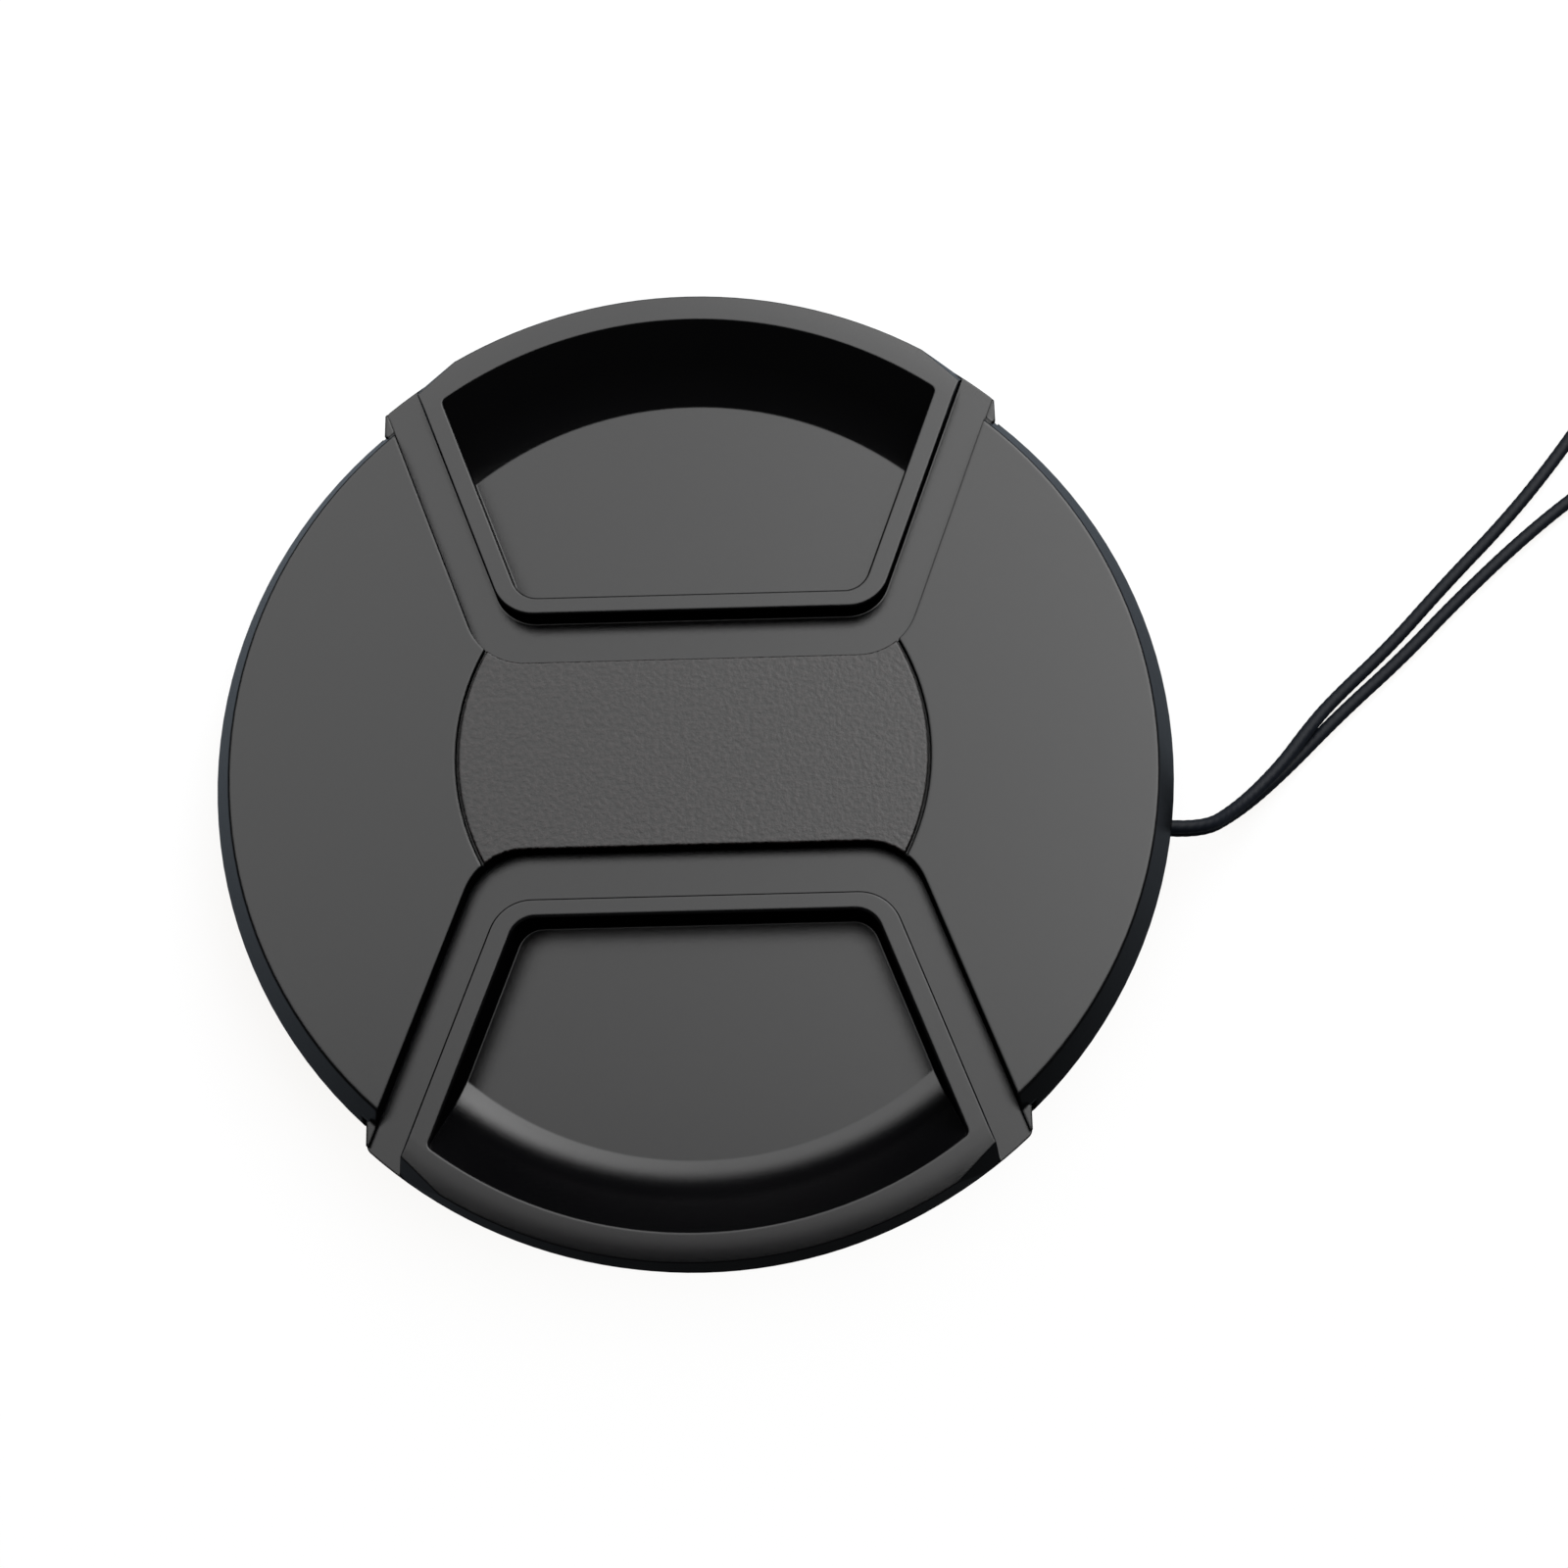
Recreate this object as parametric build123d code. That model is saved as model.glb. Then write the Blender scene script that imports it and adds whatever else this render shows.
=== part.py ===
from build123d import *
import math
import os

# Centre-pinch front lens cap for a 67 mm filter thread, in millimetres.
# It lies on its back: z = 0 is the table, +Z is the front face and the keys slide along Y.

# Heights
SPIGOT_Z = 0.0          # rear edge of the spigot, on which the cap rests
HOOK_Z = 0.3            # rear edge of the key hooks, clear of the table
PLATE_Z = 2.8           # rear face of the rear plate
SHOULDER_Z = 3.2        # rear of the rim, which stops against the lens
PLATE_TOP_Z = 3.8
KEY_BASE_Z = 4.0
POCKET_Z = 5.1          # floor of the finger pockets
SKIRT_Z = 7.1           # foot of the sloping skirt
FLANGE_Z = 7.65         # top of the key flanges
COVER_BASE_Z = 7.8      # underside of the cover above the flanges
CEILING_Z = 8.4         # roof of the hollows under the wings
FACE_Z = 9.7            # front face of the wings and of the bridge
RIDGE_Z = 9.9           # top of the key ridges

# Front cover
BODY_RADIUS = 35.0
FACE_RADIUS = 33.5
FACE_CHAMFER = 0.1
RIM_WALL_RADIUS = 33.0  # inner face of the rim wall
HOLLOW_RADIUS = 31.7
COVER_WALL = 1.3
FIELD_RADIUS = 17.04    # circular groove round the bare field
GROOVE_WIDTH = 0.24
GROOVE_DEPTH = 0.5

# Cut-outs of the cover: straight inner edge, sides spreading outwards, round inner corners
CUT_Y = 6.95
CUT_HALF = 15.26
CUT_SLOPE = 0.377
CUT_CORNER = 4.5

# Small horns of the cover that meet the corners of the keys
HORN_TOP_Z = 8.1
HORN_TIP_Y = 27.55
HORN_LENGTH = 2.0
HORN_WIDTH = 0.15
HORN_ROOT_RADIUS = 34.65
HORN_ROOT_ANGLE = 48.0

# Keys, upper one as built
KEY_RADIUS = 34.9       # rim of the key, about an axis set off by its play
KEY_OFFSET = 1.6
KEY_HALF = 23.2         # straight sides that run in the guides
KEY_INNER_Y = 6.4
KEY_INNER_HALF = 14.5
KEY_GUIDE_Y = 14.5
KEY_CORNER = 0.8
KEY_RIM_INNER = 31.5
TRAVEL = 2.6
SIDE_PLAY = 0.3

# Raised ridge of a key
RIDGE_Y = 10.6
RIDGE_HALF = 13.74
RIDGE_SLOPE = 0.378
RIDGE_CORNER = 3.2
CORNER_ANGLE = 46.0     # direction that the cut-off outer corners face, from the X axis
CORNER_TOP = 34.5       # distance of that facet from the middle at the top and at the foot
CORNER_FOOT = 35.67
RIDGE_CHAMFER = 0.12
CROWN_RADIUS = 34.3     # outer edge of the ridge top
CROWN_Z = 9.74
CROWN_FLAT = 32.2       # where the ridge top starts to curve down towards the rim

# Finger pocket of a key
POCKET_Y = 11.9
POCKET_HALF = 12.58
POCKET_SLOPE = 0.377
POCKET_CORNER = 1.9
POCKET_OUTER_CORNER = 0.4
POCKET_RADIUS = 31.0    # outer arc of the pocket
POCKET_OFFSET = 2.8
SCOOP = 4.95            # depth in plan of the hollow that rises to the outer arc
SCOOP_RISE = 24.5       # slope at which it leaves the floor, with a clear edge
SCOOP_RADIUS = 8.0
SCOOP_STEEP = 51.3      # slope at which its curve goes over into a straight flank
POCKET_CHAMFER = 0.15

# Hook of a key, which grips the thread of the lens
HOOK_INNER = 31.3
HOOK_OUTER = 33.0
HOOK_OFFSET = 1.2
HOOK_HALF = 19.0
HOOK_LEAD = 0.5

# Rear plate
PLATE_RADIUS = 32.8
SPIGOT_INNER = 31.2
NOTCH_HALF = 23.8
GUIDE_WIDTH = 1.2
GUIDE_START = 8.0
GUIDE_END = 21.0
GUIDE_Z = 7.5
POST_SIDE = 2.6
POST_X = 27.5
POST_Y = 9.0
SPRING_WALL = 1.4
SPRING_WALL_HALF = 2.5
SPRING_WALL_Z = 6.6

# Springs
SPRING_RADIUS = 0.86    # of the middle of the wire
WIRE = 0.25             # side of the square wire
SPRING_TURNS = 4
SPRING_Z = 5.3
SPRING_SEAT_Y = 9.8     # end of the slot in the key
SPRING_SLOT_HALF = 1.25
SPRING_SLOT_Z = 6.45
SPRING_GAP = 0.02

# Keeper string
STRING = 1.0
STRING_SIDES = 6
STRING_ANGLE = -9.4     # where the string leaves the rim
STRING_HOLE_Z = 5.45
STRING_HOLE = (2.3, 1.25)
STRING_GAP = 0.01       # between the string and what it lies on
STRAND_GAP = 0.02       # between the inner face of the rim wall and the start of the strands
KNOT_RADIUS = 1.3
KNOT_GAP = 0.03
BEND_SHARE = 0.45       # share of the shorter leg that a bend of the string takes up

FAR = 45.0              # beyond every outline
OVERCUT = 1.0           # how far a cutter goes on past the surface it opens


def wedge(inner_y, inner_half, slope, corner):
    """Plan with a straight inner edge, sides that spread outwards and round inner corners."""
    outer_half = inner_half + slope * (FAR - inner_y)
    plan = Polygon(
        (-inner_half, inner_y), (inner_half, inner_y), (outer_half, FAR), (-outer_half, FAR), align=None
    )
    return fillet(plan.vertices().group_by(Axis.Y)[0], corner)


def prism(plan, low, high):
    """Plan raised between two heights."""
    return Pos(0, 0, low) * extrude(plan, high - low, dir=(0, 0, 1))


def turned(section, centre_y=0.0):
    """Section, drawn as radius and height, turned about an upright axis on the Y axis."""
    return Pos(0, centre_y, 0) * revolve(Plane.XZ * section, Axis.Z)


def disc(radius, centre_y=0.0):
    return Pos(0, centre_y) * Circle(radius)


def both_ends(shape):
    """Shape at the upper end together with its mirror image at the lower end."""
    return shape + mirror(shape, about=Plane.XZ)


def all_corners(shape):
    """Shape in one corner together with its mirror images in the other three."""
    pair = shape + mirror(shape, about=Plane.YZ)
    return both_ends(pair)


def cut_half(y):
    """Half width of a cut-out at a distance from the middle."""
    return CUT_HALF + CUT_SLOPE * (y - CUT_Y)


# Front cover: turned shell, hollow below, cut out for the two keys
cut_plan = wedge(CUT_Y, CUT_HALF, CUT_SLOPE, CUT_CORNER)
shell = Polygon(
    (0, SHOULDER_Z),
    (BODY_RADIUS, SHOULDER_Z),
    (BODY_RADIUS, SKIRT_Z),
    (FACE_RADIUS, FACE_Z),
    (0, FACE_Z),
    align=None,
)
face_edge = shell.vertices().sort_by_distance((FACE_RADIUS, FACE_Z, 0))[0]
front_cover = turned(chamfer(face_edge, FACE_CHAMFER))
front_cover -= prism(Circle(RIM_WALL_RADIUS), SHOULDER_Z, COVER_BASE_Z)
front_cover -= prism(Rectangle(2 * (KEY_HALF + SIDE_PLAY), 2 * FAR), SHOULDER_Z, COVER_BASE_Z)
front_cover -= both_ends(prism(cut_plan, COVER_BASE_Z, RIDGE_Z))
hollow_plan = Circle(HOLLOW_RADIUS) - both_ends(offset(cut_plan, COVER_WALL))
front_cover -= prism(hollow_plan, COVER_BASE_Z, CEILING_Z)
groove_plan = Circle(FIELD_RADIUS + GROOVE_WIDTH / 2) - Circle(FIELD_RADIUS - GROOVE_WIDTH / 2)
front_cover -= prism(groove_plan, FACE_Z - GROOVE_DEPTH, RIDGE_Z)

# Horns: thin points of the skirt that carry the outline on to the corners of the keys
horn_root = math.radians(HORN_ROOT_ANGLE)
horn_plan = Polygon(
    (cut_half(HORN_TIP_Y - HORN_LENGTH), HORN_TIP_Y - HORN_LENGTH),
    (cut_half(HORN_TIP_Y), HORN_TIP_Y),
    (cut_half(HORN_TIP_Y) + HORN_WIDTH, HORN_TIP_Y - HORN_WIDTH),
    (HORN_ROOT_RADIUS * math.cos(horn_root), HORN_ROOT_RADIUS * math.sin(horn_root)),
    align=None,
)
front_cover += all_corners(prism(horn_plan, COVER_BASE_Z, HORN_TOP_Z))

# Slot through the rim wall for the two strands of the string
string_angle = math.radians(STRING_ANGLE)
outward = Vector(math.cos(string_angle), math.sin(string_angle), 0)
hole_start = outward * (RIM_WALL_RADIUS - OVERCUT) + Vector(0, 0, STRING_HOLE_Z)
hole_plane = Plane(hole_start, x_dir=(0, 0, 1), z_dir=outward)
front_cover -= extrude(hole_plane * SlotOverall(*STRING_HOLE), BODY_RADIUS - RIM_WALL_RADIUS + 2 * OVERCUT)

# Upper key: flange plate with straight guided sides and a rim that stands out of the body
plate_plan = Polygon(
    (-KEY_INNER_HALF, KEY_INNER_Y),
    (KEY_INNER_HALF, KEY_INNER_Y),
    (KEY_HALF, KEY_GUIDE_Y),
    (KEY_HALF, FAR),
    (-KEY_HALF, FAR),
    (-KEY_HALF, KEY_GUIDE_Y),
    align=None,
)
plate_plan = plate_plan & disc(KEY_RADIUS, KEY_OFFSET)
plate_plan = fillet(plate_plan.vertices().sort_by(Axis.Y)[-2:], KEY_CORNER)
upper_key = prism(plate_plan, KEY_BASE_Z, FLANGE_Z)
upper_key += prism(plate_plan - disc(KEY_RIM_INNER, KEY_OFFSET), SHOULDER_Z, FLANGE_Z)

# Hook behind the rim, with a sloping edge that leads it into the lens
hook_section = Polygon(
    (HOOK_INNER, HOOK_Z),
    (HOOK_OUTER - HOOK_LEAD, HOOK_Z),
    (HOOK_OUTER, HOOK_Z + HOOK_LEAD),
    (HOOK_OUTER, FLANGE_Z),
    (HOOK_INNER, FLANGE_Z),
    align=None,
)
hook = turned(hook_section, HOOK_OFFSET)
upper_key += hook & prism(Pos(0, FAR / 2) * Rectangle(2 * HOOK_HALF, FAR), HOOK_Z, FLANGE_Z)

# Ridge round the finger pocket, with a chamfered top edge; its outer side slopes like the skirt
# and its top curves gently down to it
ridge = prism(wedge(RIDGE_Y, RIDGE_HALF, RIDGE_SLOPE, RIDGE_CORNER), FLANGE_Z, RIDGE_Z)
ridge = chamfer(ridge.faces().sort_by(Axis.Z)[-1].edges(), RIDGE_CHAMFER)
crown_start = (CROWN_FLAT, RIDGE_Z)
crown_end = (CROWN_RADIUS, CROWN_Z)
crown = make_face(
    TangentArc(crown_start, crown_end, tangent=(1, 0))
    + Polyline(crown_end, (KEY_RADIUS, FLANGE_Z), (0, FLANGE_Z), (0, RIDGE_Z), crown_start)
)
ridge = ridge & turned(crown, KEY_OFFSET)

# Outer corners of the ridge, cut off by a facet that slopes down to the rim
corner_angle = math.radians(CORNER_ANGLE)
corner_plane = Plane(
    (0, 0, 0),
    x_dir=(math.cos(corner_angle), math.sin(corner_angle), 0),
    z_dir=(math.sin(corner_angle), -math.cos(corner_angle), 0),
)
corner_section = Polygon(
    (CORNER_FOOT, FLANGE_Z), (FAR, FLANGE_Z), (FAR, RIDGE_Z), (CORNER_TOP, RIDGE_Z), align=None
)
corner = extrude(corner_plane * corner_section, FAR / 2, both=True)
upper_key += ridge - corner - mirror(corner, about=Plane.YZ)

# Finger pocket: flat floor with a clear edge, a hollow that rises to the outer arc, a chamfered mouth
pocket_plan = wedge(POCKET_Y, POCKET_HALF, POCKET_SLOPE, POCKET_CORNER)
pocket_plan = pocket_plan & disc(POCKET_RADIUS, POCKET_OFFSET)
pocket_plan = fillet(pocket_plan.vertices().sort_by(Axis.Y)[-2:], POCKET_OUTER_CORNER)
scoop_rise = math.radians(SCOOP_RISE)
scoop_start = (POCKET_RADIUS - SCOOP, POCKET_Z)
scoop_curve = JernArc(
    scoop_start, (math.cos(scoop_rise), math.sin(scoop_rise)), SCOOP_RADIUS, SCOOP_STEEP - SCOOP_RISE
)
pocket_top = RIDGE_Z + OVERCUT
mouth_z = RIDGE_Z - POCKET_CHAMFER
scoop_corners = [(POCKET_RADIUS, mouth_z), (POCKET_RADIUS, pocket_top), (0, pocket_top), (0, POCKET_Z)]
scoop = make_face(scoop_curve + Polyline(scoop_curve @ 1, *scoop_corners, scoop_start))
upper_key -= prism(pocket_plan, POCKET_Z, pocket_top) & turned(scoop, POCKET_OFFSET)
upper_key -= Pos(0, 0, mouth_z) * extrude(pocket_plan, 2 * POCKET_CHAMFER, taper=-45)

# Slot under the flange that takes the spring
slot_plan = Pos(0, (KEY_INNER_Y + SPRING_SEAT_Y) / 2) * Rectangle(
    2 * SPRING_SLOT_HALF, SPRING_SEAT_Y - KEY_INNER_Y
)
upper_key -= prism(slot_plan, KEY_BASE_Z, SPRING_SLOT_Z)
lower_key = mirror(upper_key, about=Plane.XZ)

# Rear plate: disc with a spigot at each side, cut back where the hooks travel
rear_plate = prism(Circle(PLATE_RADIUS), PLATE_Z, PLATE_TOP_Z)
rear_plate += prism(Circle(PLATE_RADIUS) - Circle(SPIGOT_INNER), SPIGOT_Z, PLATE_TOP_Z)
notch_plan = Pos(0, FAR / 2) * Rectangle(2 * NOTCH_HALF, FAR) - disc(
    HOOK_INNER - SIDE_PLAY, HOOK_OFFSET - TRAVEL
)
rear_plate -= both_ends(prism(notch_plan, SPIGOT_Z, PLATE_TOP_Z))

# Guides for the straight sides of the keys, posts welded to the cover, wall between the springs
guide_plan = Pos(KEY_HALF + SIDE_PLAY + GUIDE_WIDTH / 2, (GUIDE_START + GUIDE_END) / 2) * Rectangle(
    GUIDE_WIDTH, GUIDE_END - GUIDE_START
)
rear_plate += all_corners(prism(guide_plan, PLATE_Z, GUIDE_Z))
post_plan = Pos(POST_X, POST_Y) * Rectangle(POST_SIDE, POST_SIDE)
rear_plate += all_corners(prism(post_plan, PLATE_Z, CEILING_Z))
rear_plate += prism(Rectangle(2 * SPRING_WALL_HALF, SPRING_WALL), PLATE_Z, SPRING_WALL_Z)

# Springs: each pushes its key away from the wall in the middle
spring_start = SPRING_WALL / 2 + WIRE / 2 + SPRING_GAP
spring_length = SPRING_SEAT_Y - WIRE / 2 - SPRING_GAP - spring_start
coil = Helix(
    spring_length / SPRING_TURNS,
    spring_length,
    SPRING_RADIUS,
    center=(0, spring_start, SPRING_Z),
    direction=(0, 1, 0),
)
upper_spring = sweep(Plane(coil @ 0, z_dir=coil % 0) * Rectangle(WIRE, WIRE), path=coil, is_frenet=True)
lower_spring = mirror(upper_spring, about=Plane.XZ)

# Keeper string: both strands leave the slot one above the other, sink to the table and lie
# side by side; beyond the stretch that is seen they part into a plain round end
lie_z = STRING / 2 + STRING_GAP
strand_x = (RIM_WALL_RADIUS + STRAND_GAP) * outward.X
strand_y = (RIM_WALL_RADIUS + STRAND_GAP) * outward.Y
lower_strand = [
    (strand_x, strand_y, 4.93),
    (36.7, -6.08, 4.80),
    (40.6, -3.70, 1.60),
    (44.4, -0.60, lie_z),
    (49.3, 4.05, lie_z),
    (54.5, 8.45, lie_z),
    (59.2, 13.00, lie_z),
]
upper_strand = [
    (strand_x, strand_y, 5.97),
    (36.7, -6.08, 5.86),
    (40.5, -3.60, 2.80),
    (44.1, -0.25, 1.62),
    (46.4, 2.55, 1.20),
    (48.7, 5.05, lie_z),
    (53.7, 9.45, lie_z),
    (58.2, 14.15, lie_z),
]
along = Vector(0.735, 0.678, 0)
across = Vector(-0.678, 0.735, 0)
loop_start = Vector(58.7, 13.58, lie_z)
# distance along the loop and half its width there
loop_steps = [(8.0, 0.95), (15.0, 1.7), (22.0, 2.9), (27.5, 4.4), (32.3, 2.7)]
loop_side = [loop_start + along * step - across * half for step, half in loop_steps]
return_side = [loop_start + along * step + across * half for step, half in loop_steps]
route = [Vector(*point) for point in lower_strand]
route += loop_side + return_side[::-1]
route += [Vector(*point) for point in upper_strand[::-1]]
radii = []
for before, corner, after in zip(route, route[1:], route[2:]):
    turn = math.radians((corner - before).get_angle(after - corner))
    run = min((corner - before).length, (after - corner).length)
    radii.append(BEND_SHARE * run / math.tan(turn / 2))
print("string radii", [round(radius, 1) for radius in radii])
string_path = FilletPolyline(*route, radius=radii)
print("string length", round(string_path.length, 1))
string_section = RegularPolygon(STRING / 2, STRING_SIDES)
keeper_string = sweep(Plane(string_path @ 0, z_dir=string_path % 0) * string_section, path=string_path)

# Knot that stops the string behind the rim wall
knot_centre = outward * (RIM_WALL_RADIUS - KNOT_RADIUS - KNOT_GAP)
string_knot = Pos(knot_centre.X, knot_centre.Y, STRING_HOLE_Z) * Cylinder(KNOT_RADIUS, 2 * KNOT_RADIUS)

os.makedirs("parts", exist_ok=True)
nodes = {
    "front_cover": front_cover,
    "upper_key": upper_key,
    "lower_key": lower_key,
    "rear_plate": rear_plate,
    "upper_spring": upper_spring,
    "lower_spring": lower_spring,
    "keeper_string": keeper_string,
    "string_knot": string_knot,
}
for name, shape in nodes.items():
    export_step(shape, f"parts/{name}.step")
    box = shape.bounding_box()
    print(name, len(shape.solids()), round(shape.volume, 1), box.min, box.max)
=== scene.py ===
import math

import bpy
import numpy as np
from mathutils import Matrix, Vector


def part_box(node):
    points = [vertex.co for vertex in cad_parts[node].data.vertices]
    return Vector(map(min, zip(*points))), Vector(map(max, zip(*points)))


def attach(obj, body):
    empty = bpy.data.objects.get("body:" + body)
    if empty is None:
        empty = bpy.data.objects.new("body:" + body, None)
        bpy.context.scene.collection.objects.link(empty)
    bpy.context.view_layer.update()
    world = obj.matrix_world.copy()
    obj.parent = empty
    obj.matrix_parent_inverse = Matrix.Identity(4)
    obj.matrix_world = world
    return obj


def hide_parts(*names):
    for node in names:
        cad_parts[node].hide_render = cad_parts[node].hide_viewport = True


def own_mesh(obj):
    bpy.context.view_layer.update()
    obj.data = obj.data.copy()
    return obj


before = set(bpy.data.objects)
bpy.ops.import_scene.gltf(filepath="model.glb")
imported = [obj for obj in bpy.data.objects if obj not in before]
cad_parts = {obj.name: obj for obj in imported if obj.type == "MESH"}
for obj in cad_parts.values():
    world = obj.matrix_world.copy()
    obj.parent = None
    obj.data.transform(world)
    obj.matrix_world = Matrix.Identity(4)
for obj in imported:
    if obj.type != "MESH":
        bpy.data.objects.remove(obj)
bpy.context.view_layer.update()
MM = 0.001               # the cap's sizes are written in millimetres, the studio's in metres

# Camera: it looks down on the front of the cap from above the lower key, from about twice
# the cap's width away, with the lens and tilt that give the picture's perspective.
CAMERA_PLACE = (7.146, -37.591, 148.92)
CAMERA_TURN = (14.0803, 0.6070, -1.3556)     # degrees
camera = bpy.data.objects.new("camera", bpy.data.cameras.new("camera"))
camera.data.sensor_width = 36.0
camera.data.lens = 45.98
camera.data.clip_start = 5 * MM
camera.location = [value * MM for value in CAMERA_PLACE]
camera.rotation_euler = [math.radians(angle) for angle in CAMERA_TURN]
bpy.context.scene.collection.objects.link(camera)
bpy.context.scene.camera = camera
bpy.context.scene.view_settings.view_transform = "Standard"


# Studio: a floor with painted shade in front of the cap, soft boxes side by side overhead towards the
# upper key and a dim room.
# Floor and room are white to the camera. Reflections see only a weak share of that white, because
# the cap's black walls mirror a dim room; the floor keeps the cap's shadow.
def add(tree, kind, inputs=None, **settings):
    """Adds a node; an input is given a value, or a link where the value is a socket."""
    node = tree.nodes.new(kind)
    for name, value in settings.items():
        setattr(node, name, value)
    for name, value in (inputs or {}).items():
        if isinstance(value, bpy.types.NodeSocket):
            tree.links.new(value, node.inputs[name])
        else:
            node.inputs[name].default_value = value
    return node


def linear(hex_colour):
    """sRGB hex colour as linear red, green, blue and alpha."""
    shares = np.array([int(hex_colour[place:place + 2], 16) for place in (1, 3, 5)]) / 255
    curve = np.where(shares <= 0.04045, shares / 12.92, ((shares + 0.055) / 1.055) ** 2.4)
    return (*curve, 1.0)


def new_tree(name):
    """New material with an empty node tree."""
    material = bpy.data.materials.new(name)
    material.use_nodes = True
    material.node_tree.nodes.clear()
    return material, material.node_tree


def backdrop_strength(tree, shine, light):
    """Strength of a white backdrop: 1 to the camera and through clear pieces.

    Other rays get the plain light, and reflections the weak shine on top of it.
    """
    path = add(tree, "ShaderNodeLightPath")
    seen = add(tree, "ShaderNodeMath", {0: path.outputs["Is Camera Ray"],
                                        1: path.outputs["Is Transmission Ray"]}, operation="MAXIMUM")
    weak = add(tree, "ShaderNodeMath", {0: path.outputs["Is Glossy Ray"], 1: shine, 2: light},
               operation="MULTIPLY_ADD")
    strength = add(tree, "ShaderNodeMath", {0: seen.outputs[0], 1: weak.outputs[0]}, operation="MAXIMUM")
    return strength.outputs[0]


FLOOR_HALF = 0.6         # the floor ends where the boxes light it weakly, and the white room goes on
FLOOR_Z = -0.02 * MM     # just clear of the faces that the cap lies on
FLOOR_SHINE = 0.005      # light added to the floor that reflections see
PAPER_SLANT = -0.2       # how far the lines of equal shade lean to one side
DARK_FROM = -50 * MM     # the paper is darkest from here on towards the front
PALE_FROM = 0.0          # and palest from here on towards the back
corners = [(-1, -1), (1, -1), (1, 1), (-1, 1)]
floor_mesh = bpy.data.meshes.new("studio_floor")
floor_points = [(x * FLOOR_HALF, y * FLOOR_HALF, FLOOR_Z) for x, y in corners]
floor_mesh.from_pydata(floor_points, [], [(0, 1, 2, 3)])
floor = bpy.data.objects.new("studio_floor", floor_mesh)
bpy.context.scene.collection.objects.link(floor)
paper, tree = new_tree("studio_paper")
# painted shade: the paper is darker in front of the cap and a little to the right, as if the cap's shade
# lay there, and the skirt mirrors that
spot = add(tree, "ShaderNodeSeparateXYZ", {0: add(tree, "ShaderNodeTexCoord").outputs["Object"]})
slant = add(tree, "ShaderNodeMath", {0: spot.outputs["X"], 1: PAPER_SLANT, 2: spot.outputs["Y"]},
            operation="MULTIPLY_ADD")
fade = add(tree, "ShaderNodeMapRange",
           {"Value": slant.outputs[0], "From Min": DARK_FROM, "From Max": PALE_FROM},
           interpolation_type="SMOOTHSTEP")
painted_paper_shade = add(tree, "ShaderNodeMix", {"Factor": fade.outputs["Result"], "A": linear("#1E1F20"),
                                    "B": linear("#676E76")}, data_type="RGBA")
sheet = add(tree, "ShaderNodeBsdfDiffuse", {"Color": painted_paper_shade.outputs["Result"]})
# what the paper swallows is added again, so that it is white where the light falls on it fully
rest = add(tree, "ShaderNodeVectorMath", {0: (1, 1, 1), 1: painted_paper_shade.outputs["Result"]},
           operation="SUBTRACT")
glow = add(tree, "ShaderNodeEmission",
           {"Color": rest.outputs[0], "Strength": backdrop_strength(tree, FLOOR_SHINE, 0.0)})
both = add(tree, "ShaderNodeAddShader", {0: sheet.outputs[0], 1: glow.outputs[0]})
add(tree, "ShaderNodeOutputMaterial", {"Surface": both.outputs[0]})
floor_mesh.materials.append(paper)

BOX_TILT = math.radians(32.0)
BOX_DISTANCE = 0.70
# edges of the columns and rows of boxes, along X and up their slope, with the radiance of a column
# and the share of it that a row gives
box_columns = ((-0.63, 0.012, 2.2), (0.012, 0.21, 2.85), (0.21, 0.70, 4.3))
box_rows = ((-0.62, -0.46, 0.5), (-0.46, -0.33, 0.84), (-0.33, -0.15, 0.98), (-0.15, 0.51, 1.15))
for left, right, radiance in box_columns:
    for low, high, share in box_rows:
        lamp = bpy.data.objects.new("soft_box", bpy.data.lights.new("soft_box", "AREA"))
        lamp.data.shape = "RECTANGLE"
        lamp.data.size = right - left
        lamp.data.size_y = high - low
        lamp.data.energy = radiance * share * math.pi * (right - left) * (high - low)
        up = (low + high) / 2
        lamp.location = ((left + right) / 2,
                         BOX_DISTANCE * math.sin(BOX_TILT) + up * math.cos(BOX_TILT),
                         BOX_DISTANCE * math.cos(BOX_TILT) - up * math.sin(BOX_TILT))
        lamp.rotation_euler = (-BOX_TILT, 0, 0)
        bpy.context.scene.collection.objects.link(lamp)

ROOM_LIGHT = 0.012       # what the cap gets of the room's white
ROOM_SHINE = 0.01        # and what its reflections get on top of that
world = bpy.data.worlds.new("dim_room")
bpy.context.scene.world = world
world.use_nodes = True
tree = world.node_tree
tree.nodes.clear()
room = add(tree, "ShaderNodeBackground", {"Color": linear("#FFFFFF"),
                                          "Strength": backdrop_strength(tree, ROOM_SHINE, ROOM_LIGHT)})
add(tree, "ShaderNodeOutputWorld", {"Surface": room.outputs[0]})


# Rear plate: the moulded back of the cap in black ABS, with the spigot, the key guides and the
# spring wall. It is welded to the front cover by its posts.
FLOW_WIDTH = 9.0         # width of the faint marks that the plastic left as it flowed into the mould
FLOW_ROUGH = 0.02        # how much the roughness differs in them
GRAIN_DEPTH = 0.007
WALL_FACING = 0.1        # a face that points up or down less than this has no gloss
FLAT_FACING = 0.4        # and one that does so more than this has all of it
FULL_GLOSS = 0.5         # the shader's own value for plain plastic


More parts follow.
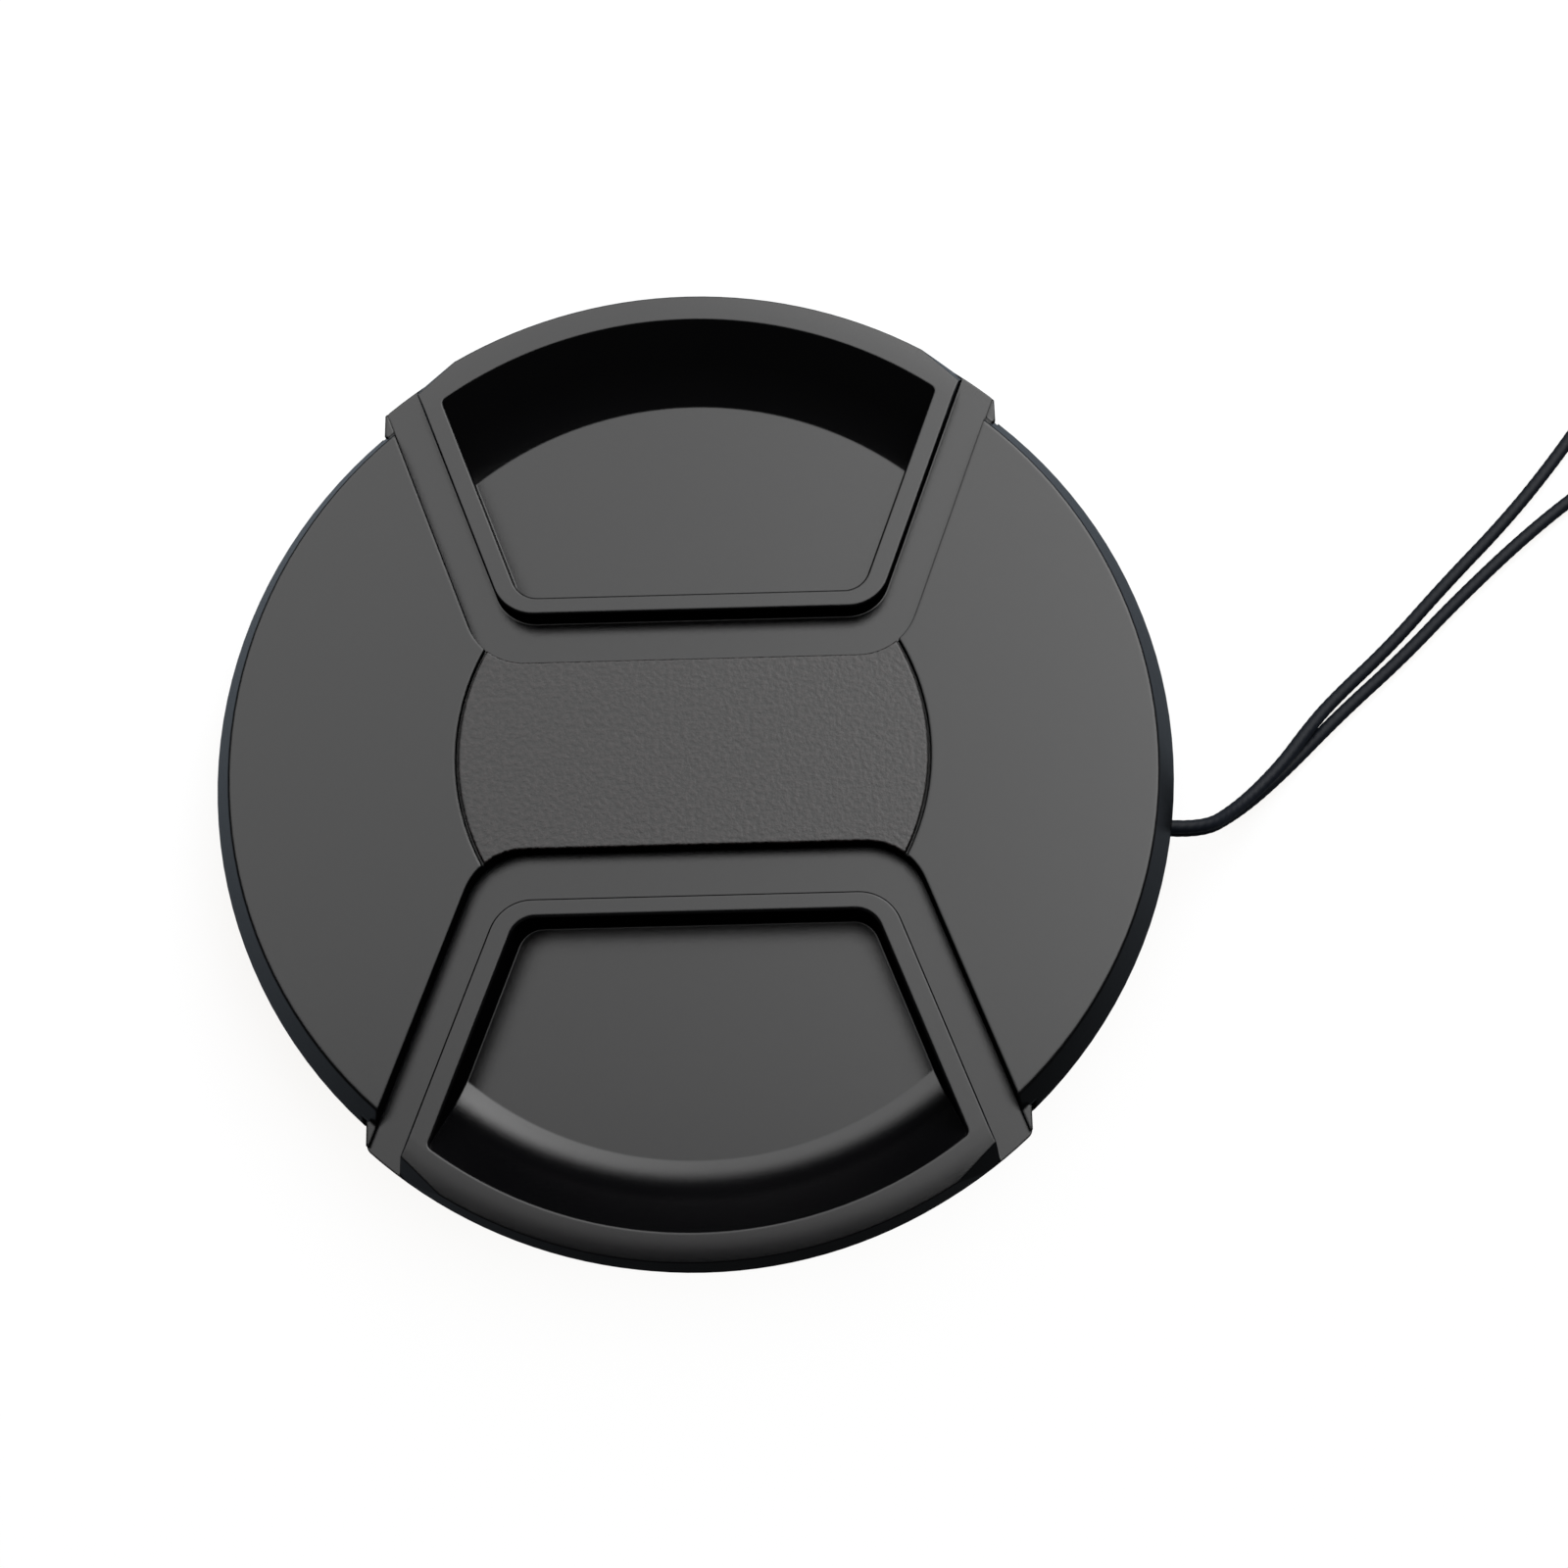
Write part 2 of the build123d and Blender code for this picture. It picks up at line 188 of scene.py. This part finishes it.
def moulded_plastic(name, dark, pale, rough, grain_mm, ior, edge_mm):
    """Black moulded plastic: satin, with the mould's fine grain, faint flow marks and soft edges.

    Upright walls have no gloss, so that they stay dark like walls in shade: painted shade, not a finish
    of the mould.
    Returns the material with its tree, its shader and the sockets for place, tint and normal.
    """
    material, tree = new_tree(name)
    place = add(tree, "ShaderNodeTexCoord").outputs["Object"]
    flow = add(tree, "ShaderNodeTexNoise",
               {"Vector": place, "Scale": 1 / (FLOW_WIDTH * MM), "Detail": 3.0})
    tint = add(tree, "ShaderNodeMix",
               {"Factor": flow.outputs["Fac"], "A": linear(dark), "B": linear(pale)}, data_type="RGBA")
    satin = add(tree, "ShaderNodeMapRange", {"Value": flow.outputs["Fac"], "To Min": rough - FLOW_ROUGH,
                                             "To Max": rough + FLOW_ROUGH})
    edge = add(tree, "ShaderNodeBevel", {"Radius": edge_mm * MM}, samples=8)
    grain = add(tree, "ShaderNodeTexNoise",
                {"Vector": place, "Scale": 1 / (grain_mm * MM), "Detail": 2.0})
    bump = add(tree, "ShaderNodeBump", {"Height": grain.outputs["Fac"], "Normal": edge.outputs[0],
                                        "Strength": 1.0, "Distance": GRAIN_DEPTH * MM})
    # painted shade: the gloss fades out on upright faces, so that walls stay dark
    face = add(tree, "ShaderNodeNewGeometry").outputs["True Normal"]
    facing = add(tree, "ShaderNodeSeparateXYZ", {0: face})
    flat = add(tree, "ShaderNodeMath", {0: facing.outputs["Z"]}, operation="ABSOLUTE")
    gloss = add(tree, "ShaderNodeMapRange",
                {"Value": flat.outputs[0], "From Min": WALL_FACING, "From Max": FLAT_FACING,
                 "To Min": 0.0, "To Max": FULL_GLOSS})
    shader = add(tree, "ShaderNodeBsdfPrincipled",
                 {"Base Color": tint.outputs["Result"], "Roughness": satin.outputs["Result"],
                  "Normal": bump.outputs[0], "IOR": ior, "Specular IOR Level": gloss.outputs["Result"]})
    add(tree, "ShaderNodeOutputMaterial", {"Surface": shader.outputs[0]})
    return material, tree, shader, place, tint.outputs["Result"], bump.outputs[0]


def dress(node, material):
    """Gives a solid of the frame its material."""
    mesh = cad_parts[node].data
    mesh.materials.clear()
    mesh.materials.append(material)


# its coarser grain spreads the light, so that it looks duller than the front
rear_abs = moulded_plastic("rear_abs", "#070708", "#0B0B0C", rough=0.38, grain_mm=0.14, ior=1.50,
                           edge_mm=0.16)[0]
dress("rear_plate", rear_abs)

# Springs: two small coil springs of drawn steel wire, loose between the wall and their keys.
# They are bright, with the fine lines of the drawing die.
SPRING_RADIUS = 0.86     # of the middle of the wire
WIRE = 0.25
SPRING_TURNS = 4
SPRING_Z = 5.3           # height of the spring's axis
SPRING_WALL_Y = 0.7      # face of the wall that the spring stands against
SPRING_SEAT_Y = 9.8      # end of the slot in the key
SPRING_GAP = 0.02        # left free at both ends
COIL_STEPS = 36          # points in a turn of the coil
WIRE_STEPS = 12          # points round the wire
DIE_LINES = 0.1          # drawn coarser than the real lines
SHARP_EDGE = math.radians(40)     # sharper edges aren't smoothed


def tube(centres, ahead, up, turn, reach):
    """Grid of points round a line: centre + reach * (cos(turn) * side + sin(turn) * top).

    Side and top are at right angles to the line's direction at each centre.
    """
    ahead = ahead / np.linalg.norm(ahead, axis=1, keepdims=True)
    side = np.cross(ahead, up)
    side /= np.linalg.norm(side, axis=1, keepdims=True)
    top = np.cross(side, ahead)
    ring = np.cos(turn)[None, :, None] * side[:, None] + np.sin(turn)[None, :, None] * top[:, None]
    return centres[:, None] + reach[..., None] * ring


def surface(name, grid, material, body, ring=False):
    """Closed tube from a grid of points: rows along it, columns round it.

    Its ends get caps, or a ring's last row joins the first.
    """
    rows, columns = grid.shape[:2]
    here = np.arange(rows * columns).reshape(rows, columns)
    ahead = np.roll(here, -1, axis=0)
    faces = np.stack([here, ahead, np.roll(ahead, -1, axis=1), np.roll(here, -1, axis=1)], axis=-1)
    faces = faces[:rows if ring else rows - 1].reshape(-1, 4).tolist()
    if not ring:
        faces += [here[0].tolist(), here[-1, ::-1].tolist()]
    mesh = bpy.data.meshes.new(name)
    mesh.from_pydata(grid.reshape(-1, 3).tolist(), [], faces)
    mesh.shade_smooth()
    mesh.set_sharp_from_angle(angle=SHARP_EDGE)
    mesh.materials.append(material)
    piece = bpy.data.objects.new(name, mesh)
    bpy.context.scene.collection.objects.link(piece)
    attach(piece, body)
    return piece


def coil_grid(side):
    """Round wire along the helix x = R cos(angle), z = height + R sin(angle), rising along y."""
    angle = np.linspace(0, 2 * np.pi * SPRING_TURNS, COIL_STEPS * SPRING_TURNS + 1)
    first = SPRING_WALL_Y + SPRING_GAP + WIRE / 2
    last = SPRING_SEAT_Y - SPRING_GAP - WIRE / 2
    helix = np.column_stack([SPRING_RADIUS * np.cos(angle), np.linspace(first, last, len(angle)),
                             SPRING_Z + SPRING_RADIUS * np.sin(angle)])
    turn = np.linspace(0, 2 * np.pi, WIRE_STEPS, endpoint=False)
    reach = np.full((len(angle), len(turn)), WIRE / 2)
    return tube(helix, np.gradient(helix, axis=0), (0, 1, 0), turn, reach) * (side, side, 1) * MM


spring_steel, tree = new_tree("drawn_spring_steel")
place = add(tree, "ShaderNodeTexCoord").outputs["Object"]
lines = add(tree, "ShaderNodeTexNoise", {"Vector": place, "Scale": 1 / (DIE_LINES * MM), "Detail": 3.0})
rough = add(tree, "ShaderNodeMapRange", {"Value": lines.outputs["Fac"], "To Min": 0.22, "To Max": 0.4})
shader = add(tree, "ShaderNodeBsdfPrincipled", {"Base Color": linear("#C4C3C0"), "Metallic": 1.0,
                                                "Roughness": rough.outputs["Result"]})
add(tree, "ShaderNodeOutputMaterial", {"Surface": shader.outputs[0]})
for name, side in (("upper", 1), ("lower", -1)):
    spring = surface(f"{name}_coil_spring", coil_grid(side), spring_steel, "cap")
    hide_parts(f"{name}_spring")
    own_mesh(spring)

# Pinch keys: two mouldings of black acetal that slide in the cover, each with a ridge round a
# scooped finger pocket. The tool left them satin, a little smoother than the cover.
key_acetal = moulded_plastic("key_acetal", "#050506", "#080809", rough=0.14, grain_mm=0.05, ior=1.495,
                             edge_mm=0.18)[0]
dress("upper_key", key_acetal)
dress("lower_key", key_acetal)

# Thread ribs: three rings of the filter thread's pitch, moulded on the outside of each key's hook
# in the same acetal. They catch the crests of the lens's thread and run out at both ends.
RIB_PITCH = 0.75
RIB_COUNT = 3
RIB_FIRST_Z = 1.15
RIB_ROOT = 32.95         # radius of the hook, about an axis set off from the middle
RIB_HEIGHT = 0.42
RIB_SINK = 0.3           # how far the foot of a rib goes into the hook
RIB_HALF_WIDTH = 0.33
RIB_CREST_HALF = 0.05
RIB_RUN_OUT = 1.6        # length over which a rib rises at its ends
HOOK_OFFSET = 1.2        # from the middle of the cap to the axis of a hook
HOOK_SPREAD = math.radians(34.6)
RIB_STEPS = 61           # points along a rib


def rib_grid(middle_z, side):
    """Thread section swept about the hook's axis: x = r sin(angle), y = offset + r cos(angle).

    The section is a triangle with a flat crest; its height fades to nothing at both ends.
    """
    angle = np.linspace(-HOOK_SPREAD, HOOK_SPREAD, RIB_STEPS)[:, None]
    fade = np.clip((HOOK_SPREAD - np.abs(angle)) * RIB_ROOT / RIB_RUN_OUT, 0, 1)
    reach = np.array([0, RIB_HEIGHT, RIB_HEIGHT, 0])
    rise = np.array([-RIB_HALF_WIDTH, -RIB_CREST_HALF, RIB_CREST_HALF, RIB_HALF_WIDTH])
    radius = np.hstack([RIB_ROOT + fade * reach, np.full_like(fade, RIB_ROOT - RIB_SINK)])
    height = np.broadcast_to(middle_z + np.append(rise, 0), radius.shape)
    x = radius * np.sin(angle)
    y = side * (HOOK_OFFSET + radius * np.cos(angle))
    return np.stack([x, y, height], axis=-1)[::-1 if side > 0 else 1] * MM


for body, side in (("upper_key", 1), ("lower_key", -1)):
    for rib in range(RIB_COUNT):
        grid = rib_grid(RIB_FIRST_Z + rib * RIB_PITCH, side)
        piece = surface(f"{body}_thread_rib_{rib + 1}", grid, key_acetal, body)

# Front cover: one moulding of black ABS with two smooth wings, and a round field on the bridge
# that was spark-eroded coarser in the mould, so that it looks finely grained and a touch warmer.
FIELD_RADIUS = 16.92
SPARK_GRAIN = 0.36       # drawn coarser than the real grain, so that it shows
SPARK_DEPTH = 0.04
PIT_LEVEL = 0.42         # of the grain's height, where its pits end
TOP_LEVEL = 0.62         # and where its tops begin
cover_abs, tree, shader, place, tint, normal = moulded_plastic(
    "cover_abs", "#060607", "#090A0A", rough=0.15, grain_mm=0.05, ior=1.49, edge_mm=0.3)
dress("front_cover", cover_abs)
axes = add(tree, "ShaderNodeSeparateXYZ", {0: place})
flat_place = add(tree, "ShaderNodeCombineXYZ", {0: axes.outputs[0], 1: axes.outputs[1]})
radius = add(tree, "ShaderNodeVectorMath", {0: flat_place.outputs[0]}, operation="LENGTH")
inside = add(tree, "ShaderNodeMath", {0: radius.outputs["Value"], 1: FIELD_RADIUS * MM},
             operation="LESS_THAN")
spark = add(tree, "ShaderNodeTexNoise",
            {"Vector": place, "Scale": 1 / (SPARK_GRAIN * MM), "Detail": 2.0})
spark_bump = add(tree, "ShaderNodeBump", {"Height": spark.outputs["Fac"], "Normal": normal,
                                          "Strength": inside.outputs[0], "Distance": SPARK_DEPTH * MM})
tree.links.new(spark_bump.outputs[0], shader.inputs["Normal"])
# painted light and shade: the tops of the grain are painted paler than its pits, as light on the bumps
# would make them
tops = add(tree, "ShaderNodeMapRange",
           {"Value": spark.outputs["Fac"], "From Min": PIT_LEVEL, "From Max": TOP_LEVEL})
grain = add(tree, "ShaderNodeMix", {"Factor": tops.outputs["Result"], "A": linear("#010000"),
                                    "B": linear("#1A1515")}, data_type="RGBA")
warm_field_and_painted_grain = add(tree, "ShaderNodeMix", {"Factor": inside.outputs[0], "A": tint, "B": grain.outputs["Result"]},
           data_type="RGBA")
tree.links.new(warm_field_and_painted_grain.outputs["Result"], shader.inputs["Base Color"])

# Keeper string: one length of thin black nylon, twisted of three plies and doubled into a loop.
# Both ends go through the slot in the rim to a stopper knot; the loop lies on the table.
STRING = 1.0
LIE_Z = 0.51             # height of the middle of a strand that lies on the table
# points that lead the two strands from the knot out over the table
LOWER_STRAND = [
    (32.577, -5.393, 4.93), (36.7, -6.08, 4.80), (40.6, -3.70, 1.60), (44.4, -0.60, LIE_Z),
    (49.3, 4.05, LIE_Z), (54.5, 8.45, LIE_Z), (59.2, 13.00, LIE_Z),
]
UPPER_STRAND = [
    (32.577, -5.393, 5.97), (36.7, -6.08, 5.86), (40.5, -3.60, 2.80), (44.1, -0.25, 1.62),
    (46.4, 2.55, 1.20), (48.7, 5.05, LIE_Z), (53.7, 9.45, LIE_Z), (58.2, 14.15, LIE_Z),
]
# the end of the loop: distances along its middle line, and half its width there
LOOP_STEPS = np.array([(8.0, 0.95), (15.0, 1.7), (22.0, 2.9), (27.5, 4.4), (32.3, 2.7)])
LOOP_START = np.array((58.7, 13.58, LIE_Z))
along = np.array((0.735, 0.678, 0.0))
across = np.array((-0.678, 0.735, 0.0))
loop_line = LOOP_START + LOOP_STEPS[:, :1] * along
going = loop_line - LOOP_STEPS[:, 1:] * across
coming = loop_line + LOOP_STEPS[:, 1:] * across
route = np.vstack([LOWER_STRAND, going, coming[::-1], UPPER_STRAND[::-1]]) * MM
line = bpy.data.curves.new("string_line", "CURVE")
line.dimensions = "3D"
line.resolution_u = 24
spline = line.splines.new("NURBS")
spline.points.add(len(route) - 1)
spline.points.foreach_set("co", np.column_stack([route, np.ones(len(route))]).ravel())
spline.order_u = 3
spline.use_endpoint_u = True
line_object = bpy.data.objects.new("string_line", line)
line_mesh = bpy.data.meshes.new_from_object(line_object)
string_path = np.empty(3 * len(line_mesh.vertices))
line_mesh.vertices.foreach_get("co", string_path)
string_path = string_path.reshape(-1, 3)
bpy.data.objects.remove(line_object)
bpy.data.curves.remove(line)
bpy.data.meshes.remove(line_mesh)


def even_points(points, step):
    """The same line with points at an even distance along it."""
    distance = np.concatenate([[0], np.cumsum(np.linalg.norm(np.diff(points, axis=0), axis=1))])
    wanted = np.linspace(0, distance[-1], int(distance[-1] / step) + 1)
    return np.column_stack([np.interp(wanted, distance, points[:, axis]) for axis in range(3)]), wanted


PLIES = 3
TWIST = 2.2              # length of one turn of the plies
PLY_DEPTH = 0.02         # half the depth of the grooves, as a share of the radius
STRING_STEP = 0.12       # between two rings of points
STRING_ROUND = 24        # points in a ring
centres, distance = even_points(string_path, STRING_STEP * MM)
turn = np.linspace(0, 2 * np.pi, STRING_ROUND, endpoint=False)
phase = PLIES * (turn[None, :] - 2 * np.pi * distance[:, None] / (TWIST * MM))
# radius of the string: full over the middle of a ply, less in the groove between two plies
reach = 0.5 * STRING * MM * (1 - PLY_DEPTH * (1 - np.abs(np.cos(phase / 2))) * 2)
string_grid = tube(centres, np.gradient(centres, axis=0), (0, 0, 1), turn, reach)

# Nylon yarn: blue-black and nearly dull, because its fibres scatter what little light it gives back
FIBRE = 0.1              # drawn coarser than real fibres
FIBRE_DEPTH = 0.02
nylon, tree = new_tree("black_nylon_string")
place = add(tree, "ShaderNodeTexCoord").outputs["Object"]
fibre = add(tree, "ShaderNodeTexNoise", {"Vector": place, "Scale": 1 / (FIBRE * MM), "Detail": 2.0})
tint = add(tree, "ShaderNodeMix", {"Factor": fibre.outputs["Fac"], "A": linear("#080B11"),
                                   "B": linear("#0F141C")}, data_type="RGBA")
bump = add(tree, "ShaderNodeBump", {"Height": fibre.outputs["Fac"], "Strength": 0.3,
                                    "Distance": FIBRE_DEPTH * MM})
shader = add(tree, "ShaderNodeBsdfPrincipled",
             {"Base Color": tint.outputs["Result"], "Roughness": 0.55, "IOR": 1.53,
              "Normal": bump.outputs[0], "Specular IOR Level": 0.16})
add(tree, "ShaderNodeOutputMaterial", {"Surface": shader.outputs[0]})
string = surface("twisted_string", string_grid, nylon, "cap")
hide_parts("keeper_string")

# Stopper knot: both ends of the string tied into one tight overhand knot behind the rim wall.
# It is wider than the slot, so that the string can't be pulled out.
KNOT_WIDE = 0.29         # a third of the knot line's reach to the side
KNOT_LONG = 0.84         # its reach along the string
KNOT_YARN = 0.43         # radius of the yarn, which is pulled thinner in the knot
KNOT_STEPS = 120         # points along the knot line
KNOT_ROUND = 16          # points round the yarn
low, high = (np.array(corner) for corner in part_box("string_knot"))
knot_middle = (low + high) / 2
outward = knot_middle * (1, 1, 0) / np.linalg.norm(knot_middle[:2])
sideways = np.cross((0, 0, 1), outward)
# overhand knot: the line goes twice round a ring while it winds three times about it
bend = np.linspace(0, 2 * np.pi, KNOT_STEPS, endpoint=False)
spread = KNOT_WIDE * (2 + np.cos(3 * bend))
knot_line = ((spread * np.cos(2 * bend))[:, None] * sideways
             + (spread * np.sin(2 * bend))[:, None] * np.array((0, 0, 1))
             + (KNOT_LONG * np.sin(3 * bend))[:, None] * outward) * MM
knot_ahead = np.roll(knot_line, -1, axis=0) - np.roll(knot_line, 1, axis=0)
knot_turn = np.linspace(0, 2 * np.pi, KNOT_ROUND, endpoint=False)
knot_reach = np.full((len(bend), len(knot_turn)), KNOT_YARN * MM)
knot_grid = knot_middle + tube(knot_line, knot_ahead, outward, knot_turn, knot_reach)
knot = surface("overhand_knot", knot_grid, nylon, "cap", ring=True)
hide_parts("string_knot")
